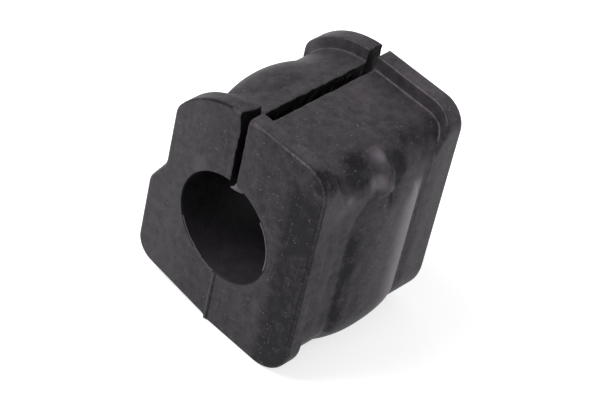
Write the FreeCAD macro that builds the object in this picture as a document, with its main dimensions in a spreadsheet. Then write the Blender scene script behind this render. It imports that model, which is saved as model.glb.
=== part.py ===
import FreeCAD, Part
import math
import os
import Sketcher

# A split rubber bushing that wraps a round bar.
# Frame: origin at the middle of the bore, +Y along the bore, +Z up to the slit, +X to the
# broad side. All lengths are millimetres, angles degrees.

doc = FreeCAD.newDocument("sway_bar_bushing")
sheet = doc.addObject("Spreadsheet::Sheet", "sizes")

SIZES = [
    # bore and length
    ("bore_diameter", "23.0"),
    ("bush_length", "37.4"),
    # outline of the end flanges, distances from the bore axis
    ("right_reach", "21.46"),
    ("foot_reach", "20.6"),
    ("head_reach", "17.08"),
    ("head_reach_rear", "16.4"),
    ("base_drop", "24.5"),
    ("base_step", "0.6"),
    ("base_nub", "1.2"),
    ("base_slope", "7.15"),
    ("crown_rise", "27.9"),
    ("crown_depth", "11.27"),
    ("crown_depth_rear", "10.27"),
    ("crown_blend", "4.0"),
    ("flange_corner", "5.4"),
    ("heel_front", "8.05"),
    ("heel_rear", "11.7"),
    ("foot_corner", "4.8"),
    ("neck_height", "4.83"),
    ("neck_round", "4.0"),
    ("foot_shoulder", "3.45"),
    ("shoulder_round", "4.0"),
    # flanges and the lower waist between them
    ("flange_front", "3.6"),
    ("flange_rear", "3.65"),
    ("waist_drop", "3.2"),
    ("waist_corner", "6.4"),
    ("waist_inset", "2.2"),
    ("waist_crown_drop", "3.0"),
    ("waist_crown_depth", "9.0"),
    ("rim_round", "0.8"),
    # raised bead on the right side, round the heel
    ("bead_half_width", "8.7"),
    ("bead_proud", "1.5"),
    ("bead_top", "9.8"),
    ("bead_shift", "0.0"),
    # narrow ridge from the bead over the top corner
    ("ridge_half_width", "2.6"),
    ("ridge_proud", "1.3"),
    ("ridge_round", "6.6"),
    ("ridge_shift", "-1.4"),
    # raised bead on the left, over the crown side
    ("hump_half_width", "7.6"),
    ("hump_proud", "1.15"),
    ("hump_shift", "-0.8"),
    ("hump_round", "9.5"),
    ("hump_height", "14.97"),
    ("hump_foot", "0.5"),
    # slit: narrow through the front flange, then wider
    ("slit_front", "1.7"),
    ("slit_rear", "2.2"),
    ("slit_flare", "4.0"),
    # moulding line down both end faces, from the bore to the base
    ("line_width", "0.5"),
    ("line_proud", "0.2"),
]

for row, (alias, number) in enumerate(SIZES, start=1):
    sheet.set("A%d" % row, alias)
    sheet.set("B%d" % row, number)
    sheet.setAlias("B%d" % row, alias)
doc.recompute()

# how far hidden parts of a feature run on inside the rubber or past it
BURY = 3.0


def val(alias):
    return float(getattr(sheet, alias))


def plane(body, role):
    for feature in body.Origin.OriginFeatures:
        if feature.Role == role:
            return feature
    raise RuntimeError("no origin plane " + role)


def new_sketch(body, name, role, offsets):
    """Sketch on an origin plane. offsets: axis letter -> expression in the plane's own frame."""
    sketch = body.newObject("Sketcher::SketchObject", name)
    sketch.AttachmentSupport = [(plane(body, role), "")]
    sketch.MapMode = "FlatFace"
    for axis, expression in offsets.items():
        sketch.setExpression("AttachmentOffset.Base." + axis, expression)
    doc.recompute()
    return sketch


def dimension(sketch, constraint, expression):
    index = sketch.addConstraint(constraint)
    sketch.setExpression("Constraints[%d]" % index, expression)
    return index


def vec(x, z):
    return FreeCAD.Vector(x, z, 0)


def arc_about(x, z, radius, start, end):
    circle = Part.Circle(vec(x, z), FreeCAD.Vector(0, 0, 1), radius)
    return Part.ArcOfCircle(circle, math.radians(start), math.radians(end))


def draw_outline(sketch, heel, corner, side_head, dome_depth, low):
    """Closed outline: flat base and square side on the right, domed head and foot on the left.
    heel, corner: aliases of the two right-hand corner radii. side_head: alias of the reach of the
    head side. The dome tops out over the bore and runs into the blend at the head side, whose
    centre lies dome_depth, an alias too, below that top. low: true for the waist, whose right top,
    crown and head side lie below the flanges."""
    right = val("right_reach")
    foot = val("foot_reach")
    base = val("base_drop")
    r_heel = val(heel)
    r_corner = val(corner)
    r_blend = val("crown_blend")
    r_neck = val("neck_round")
    r_shoulder = val("shoulder_round")
    r_foot = val("foot_corner")
    slope = math.radians(val("base_slope"))
    top_right = val("crown_rise")
    top_left = val("crown_rise")
    head = val(side_head)
    depth = val(dome_depth)
    right_rule = "sizes.crown_rise"
    left_rule = "sizes.crown_rise"
    head_rule = "sizes." + side_head
    depth_rule = "sizes." + dome_depth
    if low:
        top_right -= val("waist_drop")
        top_left -= val("waist_crown_drop")
        head -= val("waist_inset")
        right_rule = "sizes.crown_rise - sizes.waist_drop"
        left_rule = "sizes.crown_rise - sizes.waist_crown_drop"
        head_rule = "(sizes.%s - sizes.waist_inset)" % side_head
    span = head - r_blend
    dome = (depth * depth + span * span - r_blend * r_blend) / (2.0 * (depth - r_blend))
    dome_z = top_left - dome
    dome_rule = "(%s^2 + (%s - sizes.crown_blend)^2 - sizes.crown_blend^2) / (2 * (%s - sizes.crown_blend))" % (
        depth_rule, head_rule, depth_rule)

    # crown blend: inside the dome, touching the head side
    blend_x = -head + r_blend
    blend_z = dome_z + math.sqrt((dome - r_blend) ** 2 - (head - r_blend) ** 2)
    blend_angle = math.degrees(math.atan2(blend_z - dome_z, blend_x))
    # neck hollow and foot shoulder joined by their crossing tangent
    neck_x = -head - r_neck
    neck_z = val("neck_height")
    shoulder_x = -foot + r_shoulder
    shoulder_z = -val("foot_shoulder")
    reach = math.hypot(shoulder_x - neck_x, shoulder_z - neck_z)
    lean = math.atan2(shoulder_z - neck_z, shoulder_x - neck_x)
    cross = lean + math.acos((r_neck + r_shoulder) / reach)
    neck_end = vec(neck_x + r_neck * math.cos(cross), neck_z + r_neck * math.sin(cross))
    shoulder_start = vec(shoulder_x - r_shoulder * math.cos(cross),
                         shoulder_z - r_shoulder * math.sin(cross))
    # foot corner between the foot side and the sloping base
    step_x = -val("base_nub")
    step_z = -base + val("base_step")
    foot_x = -foot + r_foot
    foot_z = step_z + (step_x - foot_x) * math.tan(slope) + r_foot / math.cos(slope)
    foot_low = vec(foot_x - r_foot * math.sin(slope), foot_z - r_foot * math.cos(slope))
    slope_deg = math.degrees(slope)

    pieces = [
        Part.LineSegment(vec(0, -base), vec(right - r_heel, -base)),
        arc_about(right - r_heel, -base + r_heel, r_heel, -90, 0),
        Part.LineSegment(vec(right, -base + r_heel), vec(right, top_right - r_corner)),
        arc_about(right - r_corner, top_right - r_corner, r_corner, 0, 90),
        Part.LineSegment(vec(right - r_corner, top_right), vec(0, top_right)),
        arc_about(0, dome_z, dome, 90, blend_angle),
        arc_about(blend_x, blend_z, r_blend, blend_angle, 180),
        Part.LineSegment(vec(-head, blend_z), vec(-head, neck_z)),
        arc_about(neck_x, neck_z, r_neck, math.degrees(cross), 0),
        Part.LineSegment(neck_end, shoulder_start),
        arc_about(shoulder_x, shoulder_z, r_shoulder, math.degrees(cross) + 180, 180),
        Part.LineSegment(vec(-foot, shoulder_z), vec(-foot, foot_z)),
        arc_about(foot_x, foot_z, r_foot, 180, 270 - slope_deg),
        Part.LineSegment(foot_low, vec(step_x, step_z)),
        Part.LineSegment(vec(step_x, step_z), vec(0, -base)),
    ]
    if low:
        pieces.append(Part.LineSegment(vec(0, top_right), vec(0, top_left)))
    sketch.addGeometry(pieces, False)

    rule = Sketcher.Constraint
    sketch.addConstraint([
        rule("Horizontal", 0),
        rule("Vertical", 2),
        rule("Horizontal", 4),
        rule("Vertical", 7),
        rule("Vertical", 11),
        rule("Tangent", 0, 2, 1, 1),
        rule("Tangent", 1, 2, 2, 1),
        rule("Tangent", 2, 2, 3, 1),
        rule("Tangent", 3, 2, 4, 1),
        rule("Tangent", 5, 2, 6, 1),
        rule("Tangent", 6, 2, 7, 1),
        rule("Tangent", 7, 2, 8, 2),
        rule("Tangent", 8, 1, 9, 1),
        rule("Tangent", 9, 2, 10, 1),
        rule("Tangent", 10, 2, 11, 1),
        rule("Tangent", 11, 2, 12, 1),
        rule("Tangent", 12, 2, 13, 1),
        rule("Coincident", 13, 2, 14, 1),
        rule("Coincident", 14, 2, 0, 1),
        rule("PointOnObject", 0, 1, -2),
        rule("PointOnObject", 4, 2, -2),
        rule("PointOnObject", 5, 3, -2),
    ])
    if low:
        sketch.addConstraint(rule("PointOnObject", 5, 1, -2))
        sketch.addConstraint(rule("Coincident", 4, 2, 15, 1))
        sketch.addConstraint(rule("Coincident", 15, 2, 5, 1))
    else:
        sketch.addConstraint(rule("Coincident", 4, 2, 5, 1))
    dimension(sketch, rule("DistanceY", 0, 1, -1, 1, base), "sizes.base_drop")
    dimension(sketch, rule("DistanceY", 13, 2, -1, 1, -step_z), "sizes.base_drop - sizes.base_step")
    dimension(sketch, rule("DistanceX", 13, 2, -1, 1, -step_x), "sizes.base_nub")
    dimension(sketch, rule("DistanceX", -1, 1, 2, 1, right), "sizes.right_reach")
    dimension(sketch, rule("DistanceX", 7, 1, -1, 1, head), head_rule)
    dimension(sketch, rule("DistanceX", 11, 1, -1, 1, foot), "sizes.foot_reach")
    dimension(sketch, rule("DistanceY", -1, 1, 4, 1, top_right), right_rule)
    if low:
        dimension(sketch, rule("DistanceY", -1, 1, 5, 1, top_left), left_rule)
    dimension(sketch, rule("Radius", 1, r_heel), "sizes." + heel)
    dimension(sketch, rule("Radius", 3, r_corner), "sizes." + corner)
    dimension(sketch, rule("Radius", 5, dome), dome_rule)
    dimension(sketch, rule("Radius", 6, r_blend), "sizes.crown_blend")
    dimension(sketch, rule("Radius", 8, r_neck), "sizes.neck_round")
    dimension(sketch, rule("Radius", 10, r_shoulder), "sizes.shoulder_round")
    dimension(sketch, rule("Radius", 12, r_foot), "sizes.foot_corner")
    dimension(sketch, rule("DistanceY", -1, 1, 8, 3, neck_z), "sizes.neck_height")
    dimension(sketch, rule("DistanceY", 10, 3, -1, 1, -shoulder_z), "sizes.foot_shoulder")
    dimension(sketch, rule("Angle", -1, 1, 13, 1, -slope), "-sizes.base_slope")


def draw_swell(sketch, half_width, proud, surface, depth, arm):
    """Swell section across its own middle line: an arc that rises by proud over a
    rectangle which is buried in the rubber. surface: distance of the rubber's skin from the
    sketch origin, as a number and an expression. arm: which way the section points, 1 or -1."""
    number, expression = surface
    half = val(half_width)
    rise = val(proud)
    radius = (half * half + rise * rise) / (2.0 * rise)
    centre = number + rise - radius
    spread = math.degrees(math.asin(half / radius))
    inner = number - depth
    turn = 0.0 if arm > 0 else 180.0
    pieces = [
        arc_about(arm * centre, 0, radius, turn - spread, turn + spread),
        Part.LineSegment(vec(arm * number, arm * half), vec(arm * inner, arm * half)),
        Part.LineSegment(vec(arm * inner, arm * half), vec(arm * inner, -arm * half)),
        Part.LineSegment(vec(arm * inner, -arm * half), vec(arm * number, -arm * half)),
    ]
    sketch.addGeometry(pieces, False)
    rule = Sketcher.Constraint
    sketch.addConstraint([
        rule("Coincident", 0, 2, 1, 1),
        rule("Coincident", 1, 2, 2, 1),
        rule("Coincident", 2, 2, 3, 1),
        rule("Coincident", 3, 2, 0, 1),
        rule("Horizontal", 1),
        rule("Vertical", 2),
        rule("Horizontal", 3),
        rule("PointOnObject", 0, 3, -1),
    ])
    width = "2 * sizes." + half_width
    curve = "(sizes.%s^2 + sizes.%s^2) / (2 * sizes.%s)" % (half_width, proud, proud)
    dimension(sketch, rule("Radius", 0, radius), curve)
    if arm > 0:
        dimension(sketch, rule("DistanceY", 2, 2, 2, 1, 2 * half), width)
        dimension(sketch, rule("DistanceX", -1, 1, 1, 1, number), expression)
        dimension(sketch, rule("DistanceX", 1, 2, 1, 1, depth), "%r" % depth)
    else:
        dimension(sketch, rule("DistanceY", 2, 1, 2, 2, 2 * half), width)
        dimension(sketch, rule("DistanceX", 1, 1, -1, 1, number), expression)
        dimension(sketch, rule("DistanceX", 1, 1, 1, 2, depth), "%r" % depth)


def finish_feature(feature, grows):
    """Recompute and make sure the feature really added or removed rubber."""
    before = feature.BaseFeature.Shape.Volume if feature.BaseFeature else 0.0
    doc.recompute()
    after = feature.Shape.Volume
    if grows and after <= before:
        raise RuntimeError(feature.Label + " added nothing")
    if not grows and after >= before:
        raise RuntimeError(feature.Label + " cut nothing")
    return feature


body = doc.addObject("PartDesign::Body", "bushing")
body.Label = "bushing"
body.Placement = FreeCAD.Placement()

# waist: the outline between the flanges, drawn at mid length
waist_sketch = new_sketch(body, "waist_outline", "XZ_Plane", {})
draw_outline(waist_sketch, "heel_rear", "waist_corner", "head_reach", "waist_crown_depth", True)
waist = body.newObject("PartDesign::Pad", "waist")
waist.Profile = waist_sketch
waist.SideType = "Symmetric"
waist.setExpression("Length", "sizes.bush_length - min(sizes.flange_front; sizes.flange_rear)")
finish_feature(waist, True)

# end flanges, each drawn on its outer face and grown inwards
front_sketch = new_sketch(body, "front_outline", "XZ_Plane", {"z": "sizes.bush_length / 2"})
draw_outline(front_sketch, "heel_front", "flange_corner", "head_reach", "crown_depth", False)
front = body.newObject("PartDesign::Pad", "front_flange")
front.Profile = front_sketch
front.Reversed = True
front.setExpression("Length", "sizes.flange_front")
finish_feature(front, True)

rear_sketch = new_sketch(body, "rear_outline", "XZ_Plane", {"z": "-sizes.bush_length / 2"})
draw_outline(rear_sketch, "heel_rear", "flange_corner", "head_reach_rear", "crown_depth_rear", False)
rear = body.newObject("PartDesign::Pad", "rear_flange")
rear.Profile = rear_sketch
rear.setExpression("Length", "sizes.flange_rear")
finish_feature(rear, True)

# soft rims: the outer edges of both end faces
end = val("bush_length") / 2.0
rims = []
for number, edge in enumerate(rear.Shape.Edges, start=1):
    box = edge.BoundBox
    flat = box.YLength < 1e-6 and abs(abs(box.YMin) - end) < 1e-6
    if flat:
        rims.append("Edge%d" % number)
rim = body.newObject("PartDesign::Fillet", "soft_rims")
rim.Base = (rear, rims)
rim.setExpression("Radius", "sizes.rim_round")
finish_feature(rim, False)

# right bead: column on the flat side
side = (val("right_reach"), "sizes.right_reach")
column_sketch = new_sketch(body, "bead_section", "XY_Plane", {
    "y": "sizes.bead_shift",
    "z": "sizes.heel_rear - sizes.base_drop",
})
draw_swell(column_sketch, "bead_half_width", "bead_proud", side, BURY, 1)
column = body.newObject("PartDesign::Pad", "bead_column")
column.Profile = column_sketch
column.setExpression("Length", "sizes.bead_top + sizes.base_drop - sizes.heel_rear")
finish_feature(column, True)

# right bead: round upper end, a cap turned about the bead's own middle line
cap_sketch = new_sketch(body, "bead_cap_section", "XY_Plane", {
    "y": "sizes.bead_shift",
    "z": "sizes.bead_top",
})
half = val("bead_half_width")
rise = val("bead_proud")
cap_radius = (half * half + rise * rise) / (2.0 * rise)
cap_centre = side[0] + rise - cap_radius
cap_spread = math.degrees(math.asin(half / cap_radius))
cap_sketch.addGeometry([
    arc_about(cap_centre, 0, cap_radius, 0, cap_spread),
    Part.LineSegment(vec(side[0], half), vec(side[0] - BURY, half)),
    Part.LineSegment(vec(side[0] - BURY, half), vec(side[0] - BURY, 0)),
    Part.LineSegment(vec(side[0] - BURY, 0), vec(side[0] + rise, 0)),
], False)
rule = Sketcher.Constraint
cap_sketch.addConstraint([
    rule("Coincident", 0, 2, 1, 1),
    rule("Coincident", 1, 2, 2, 1),
    rule("Coincident", 2, 2, 3, 1),
    rule("Coincident", 3, 2, 0, 1),
    rule("Horizontal", 1),
    rule("Vertical", 2),
    rule("PointOnObject", 0, 3, -1),
    rule("PointOnObject", 3, 1, -1),
    rule("PointOnObject", 3, 2, -1),
])
dimension(cap_sketch, rule("Radius", 0, cap_radius),
          "(sizes.bead_half_width^2 + sizes.bead_proud^2) / (2 * sizes.bead_proud)")
dimension(cap_sketch, rule("DistanceY", 2, 2, 2, 1, half), "sizes.bead_half_width")
dimension(cap_sketch, rule("DistanceX", -1, 1, 1, 1, side[0]), "sizes.right_reach")
dimension(cap_sketch, rule("DistanceX", 1, 2, 1, 1, BURY), "%r" % BURY)
cap = body.newObject("PartDesign::Revolution", "bead_cap")
cap.Profile = cap_sketch
cap.ReferenceAxis = (cap_sketch, ["H_Axis"])
cap.Angle = 360.0
finish_feature(cap, True)


def swept_swell(name, section, half_width, proud, reach, axis_x, axis_z, shift, arm, angle, turned):
    """Swell turned about a line along Y through (axis_x, axis_z), given as expressions."""
    sketch = new_sketch(body, section, "XY_Plane", {
        "x": axis_x,
        "y": shift,
        "z": axis_z,
    })
    draw_swell(sketch, half_width, proud, reach, BURY, arm)
    turn = body.newObject("PartDesign::Revolution", name)
    turn.Profile = sketch
    turn.ReferenceAxis = (sketch, ["V_Axis"])
    turn.Angle = angle
    turn.Reversed = turned
    return finish_feature(turn, True)


# right bead: round the heel, about the heel's own centre
heel_turn = swept_swell(
    "bead_heel", "bead_heel_section", "bead_half_width", "bead_proud",
    (val("heel_rear"), "sizes.heel_rear"),
    "sizes.right_reach - sizes.heel_rear", "sizes.heel_rear - sizes.base_drop",
    "sizes.bead_shift", 1, 90.0, False)

# ridge over the top corner: a column out of the bead, then a turn that dies into the flat
ridge_reach = (val("ridge_round") - val("ridge_proud"), "sizes.ridge_round - sizes.ridge_proud")
ridge_turn = swept_swell(
    "ridge_corner", "ridge_corner_section", "ridge_half_width", "ridge_proud", ridge_reach,
    "sizes.right_reach + sizes.ridge_proud - sizes.ridge_round",
    "sizes.crown_rise - sizes.waist_drop - sizes.waist_corner",
    "sizes.ridge_shift", 1, 115.0, True)

ridge_sketch = new_sketch(body, "ridge_section", "XY_Plane", {
    "y": "sizes.ridge_shift",
    "z": "sizes.bead_top",
})
draw_swell(ridge_sketch, "ridge_half_width", "ridge_proud", side, BURY, 1)
ridge = body.newObject("PartDesign::Pad", "ridge_column")
ridge.Profile = ridge_sketch
ridge.setExpression("Length", "sizes.crown_rise - sizes.waist_drop - sizes.waist_corner - sizes.bead_top")
finish_feature(ridge, True)

# left hump: over the crown's side, then a column down to the foot shoulder
hump_reach = (val("hump_round") - val("hump_proud"), "sizes.hump_round - sizes.hump_proud")
hump_turn = swept_swell(
    "hump_crown", "hump_crown_section", "hump_half_width", "hump_proud", hump_reach,
    "sizes.waist_inset + sizes.hump_round - sizes.head_reach - sizes.hump_proud",
    "sizes.hump_height", "sizes.hump_shift", -1, 105.0, False)

hump_sketch = new_sketch(body, "hump_section", "XY_Plane", {
    "y": "sizes.hump_shift",
    "z": "sizes.hump_foot",
})
draw_swell(hump_sketch, "hump_half_width", "hump_proud",
           (val("head_reach") - val("waist_inset"), "sizes.head_reach - sizes.waist_inset"), BURY, -1)
hump = body.newObject("PartDesign::Pad", "hump_column")
hump.Profile = hump_sketch
hump.setExpression("Length", "sizes.hump_height - sizes.hump_foot")
finish_feature(hump, True)

# flat seat: the bead's heel is trimmed level with the base
seat_sketch = new_sketch(body, "seat_trim_outline", "XZ_Plane", {})
seat_top = -val("base_drop")
seat_sketch.addGeometry([
    Part.LineSegment(vec(0, seat_top), vec(30, seat_top)),
    Part.LineSegment(vec(30, seat_top), vec(30, seat_top - 8)),
    Part.LineSegment(vec(30, seat_top - 8), vec(0, seat_top - 8)),
    Part.LineSegment(vec(0, seat_top - 8), vec(0, seat_top)),
], False)
seat_sketch.addConstraint([
    rule("Coincident", 0, 2, 1, 1),
    rule("Coincident", 1, 2, 2, 1),
    rule("Coincident", 2, 2, 3, 1),
    rule("Coincident", 3, 2, 0, 1),
    rule("Horizontal", 0),
    rule("Vertical", 1),
    rule("Horizontal", 2),
    rule("Vertical", 3),
    rule("PointOnObject", 0, 1, -2),
])
dimension(seat_sketch, rule("DistanceY", 0, 1, -1, 1, -seat_top), "sizes.base_drop")
dimension(seat_sketch, rule("DistanceX", 0, 1, 0, 2, 30), "sizes.right_reach + 4 * sizes.bead_proud")
dimension(seat_sketch, rule("DistanceY", 1, 2, 1, 1, 8), "4 * sizes.bead_proud")
seat = body.newObject("PartDesign::Pocket", "seat_trim")
seat.Profile = seat_sketch
seat.SideType = "Symmetric"
seat.Type = "ThroughAll"
finish_feature(seat, False)

# moulding line: a thin rib that stands out of both end faces under the bore
line_sketch = new_sketch(body, "moulding_line_outline", "XZ_Plane", {})
line_half = val("line_width") / 2.0
line_low = -val("base_drop") + val("base_step")
line_high = -val("bore_diameter") / 4.0
line_sketch.addGeometry([
    Part.LineSegment(vec(-line_half, line_low), vec(line_half, line_low)),
    Part.LineSegment(vec(line_half, line_low), vec(line_half, line_high)),
    Part.LineSegment(vec(line_half, line_high), vec(-line_half, line_high)),
    Part.LineSegment(vec(-line_half, line_high), vec(-line_half, line_low)),
], False)
line_sketch.addConstraint([
    rule("Coincident", 0, 2, 1, 1),
    rule("Coincident", 1, 2, 2, 1),
    rule("Coincident", 2, 2, 3, 1),
    rule("Coincident", 3, 2, 0, 1),
    rule("Vertical", 1),
    rule("Vertical", 3),
    rule("Symmetric", 0, 1, 0, 2, -2),
    rule("Horizontal", 2),
])
dimension(line_sketch, rule("DistanceX", 0, 1, 0, 2, 2 * line_half), "sizes.line_width")
dimension(line_sketch, rule("DistanceY", 0, 1, -1, 1, -line_low), "sizes.base_drop - sizes.base_step")
dimension(line_sketch, rule("DistanceY", 2, 1, -1, 1, -line_high), "sizes.bore_diameter / 4")
line = body.newObject("PartDesign::Pad", "moulding_line")
line.Profile = line_sketch
line.SideType = "Symmetric"
line.setExpression("Length", "sizes.bush_length + 2 * sizes.line_proud")
finish_feature(line, True)

# bore, right through
bore_sketch = new_sketch(body, "bore_circle", "XZ_Plane", {})
bore_radius = val("bore_diameter") / 2.0
bore_sketch.addGeometry(Part.Circle(vec(0, 0), FreeCAD.Vector(0, 0, 1), bore_radius), False)
bore_sketch.addConstraint(rule("Coincident", 0, 3, -1, 1))
dimension(bore_sketch, rule("Radius", 0, bore_radius), "sizes.bore_diameter / 2")
bore = body.newObject("PartDesign::Pocket", "bore")
bore.Profile = bore_sketch
bore.SideType = "Symmetric"
bore.Type = "ThroughAll"
finish_feature(bore, False)

# slit from the bore up through the crown, seen from above: narrow through the front flange, then
# flaring to its width through the waist and the rear flange
slit_sketch = new_sketch(body, "slit_outline", "XY_Plane", {"z": "sizes.bore_diameter / 4"})
front_y = -val("bush_length") / 2.0 - 1.0
neck_y = -val("bush_length") / 2.0 + val("flange_front")
flare_y = neck_y + val("slit_flare")
rear_y = val("bush_length") / 2.0 + 1.0
thin = val("slit_front") / 2.0
wide = val("slit_rear") / 2.0
corners = [
    vec(-thin, front_y),
    vec(thin, front_y),
    vec(thin, neck_y),
    vec(wide, flare_y),
    vec(wide, rear_y),
    vec(-wide, rear_y),
    vec(-wide, flare_y),
    vec(-thin, neck_y),
]
slit_sketch.addGeometry([
    Part.LineSegment(corners[i], corners[(i + 1) % 8]) for i in range(8)
], False)
slit_sketch.addConstraint([rule("Coincident", i, 2, (i + 1) % 8, 1) for i in range(8)])
slit_sketch.addConstraint([
    rule("Vertical", 1),
    rule("Vertical", 3),
    rule("Symmetric", 0, 1, 0, 2, -2),
    rule("Symmetric", 6, 2, 1, 2, -2),
    rule("Symmetric", 5, 2, 2, 2, -2),
    rule("Symmetric", 4, 2, 3, 2, -2),
])
dimension(slit_sketch, rule("DistanceX", 0, 1, 0, 2, 2 * thin), "sizes.slit_front")
dimension(slit_sketch, rule("DistanceX", 4, 2, 4, 1, 2 * wide), "sizes.slit_rear")
dimension(slit_sketch, rule("DistanceY", 0, 1, -1, 1, -front_y), "sizes.bush_length / 2 + 1")
dimension(slit_sketch, rule("DistanceY", 1, 2, -1, 1, -neck_y), "sizes.bush_length / 2 - sizes.flange_front")
dimension(slit_sketch, rule("DistanceY", 2, 1, 2, 2, flare_y - neck_y), "sizes.slit_flare")
dimension(slit_sketch, rule("DistanceY", -1, 1, 4, 1, rear_y), "sizes.bush_length / 2 + 1")
slit = body.newObject("PartDesign::Pocket", "slit")
slit.Profile = slit_sketch
slit.Reversed = True
slit.Type = "ThroughAll"
finish_feature(slit, False)

body.Tip = slit
doc.recompute()

for thing in doc.Objects:
    for flag in ("Invalid", "Error"):
        if flag in thing.State:
            raise RuntimeError("%s is %s" % (thing.Label, flag))

shape = body.Shape
if shape.isNull() or not shape.isValid() or len(shape.Solids) != 1:
    raise RuntimeError("bushing is not one valid solid")

os.makedirs("parts", exist_ok=True)
body.Shape.exportStep("parts/bushing.step")
box = shape.BoundBox
print("bushing", round(shape.Volume, 1), [round(v, 3) for v in (
    box.XMin, box.XMax, box.YMin, box.YMax, box.ZMin, box.ZMax)])
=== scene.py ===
import math

import bmesh
import bpy
import numpy as np
from mathutils import Matrix, Vector, noise


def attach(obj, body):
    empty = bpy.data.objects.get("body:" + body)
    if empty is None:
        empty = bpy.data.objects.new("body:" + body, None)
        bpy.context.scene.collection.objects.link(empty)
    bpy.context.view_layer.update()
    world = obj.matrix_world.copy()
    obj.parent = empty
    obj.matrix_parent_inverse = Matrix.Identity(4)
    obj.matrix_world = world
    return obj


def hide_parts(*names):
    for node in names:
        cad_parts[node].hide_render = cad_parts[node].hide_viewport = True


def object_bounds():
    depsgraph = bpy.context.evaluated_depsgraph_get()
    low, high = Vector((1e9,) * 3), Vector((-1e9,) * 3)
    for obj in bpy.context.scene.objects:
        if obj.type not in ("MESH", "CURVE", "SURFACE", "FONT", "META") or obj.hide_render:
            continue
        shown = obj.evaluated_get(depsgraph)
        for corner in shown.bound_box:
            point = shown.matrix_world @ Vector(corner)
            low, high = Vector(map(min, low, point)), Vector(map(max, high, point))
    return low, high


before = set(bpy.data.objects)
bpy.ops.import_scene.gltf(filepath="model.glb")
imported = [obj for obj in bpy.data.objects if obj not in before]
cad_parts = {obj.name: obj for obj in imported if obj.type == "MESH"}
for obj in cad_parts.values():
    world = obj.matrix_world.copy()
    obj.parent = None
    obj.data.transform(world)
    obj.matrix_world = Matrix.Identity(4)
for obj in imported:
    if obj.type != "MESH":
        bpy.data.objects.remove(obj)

bl_info = {
    "name": "Sway bar bushing",
    "version": (1, 0, 0),
    "blender": (4, 5, 0),
    "location": "3D View > Sidebar > Bushing",
    "description": "Moulded rubber bushing with its bead, ridge, slit, flash and dusty finish",
    "category": "Object",
}

CAD_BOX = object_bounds()
MM = 0.001
BODY = "root"
NODE = "bushing"

# Stretches of the outline, clockwise from the slit's right lip to its left lip
(TOP, CORNER, SIDE, HEEL, SEAT, NUB, SLOPE, FOOT_CORNER, FOOT_SIDE,
 SHOULDER, LINK, NECK, HEAD_SIDE, BLEND, DOME) = range(15)
ROUND_STRETCHES = (CORNER, HEEL, FOOT_CORNER, SHOULDER, NECK, BLEND)


# Settings

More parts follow.
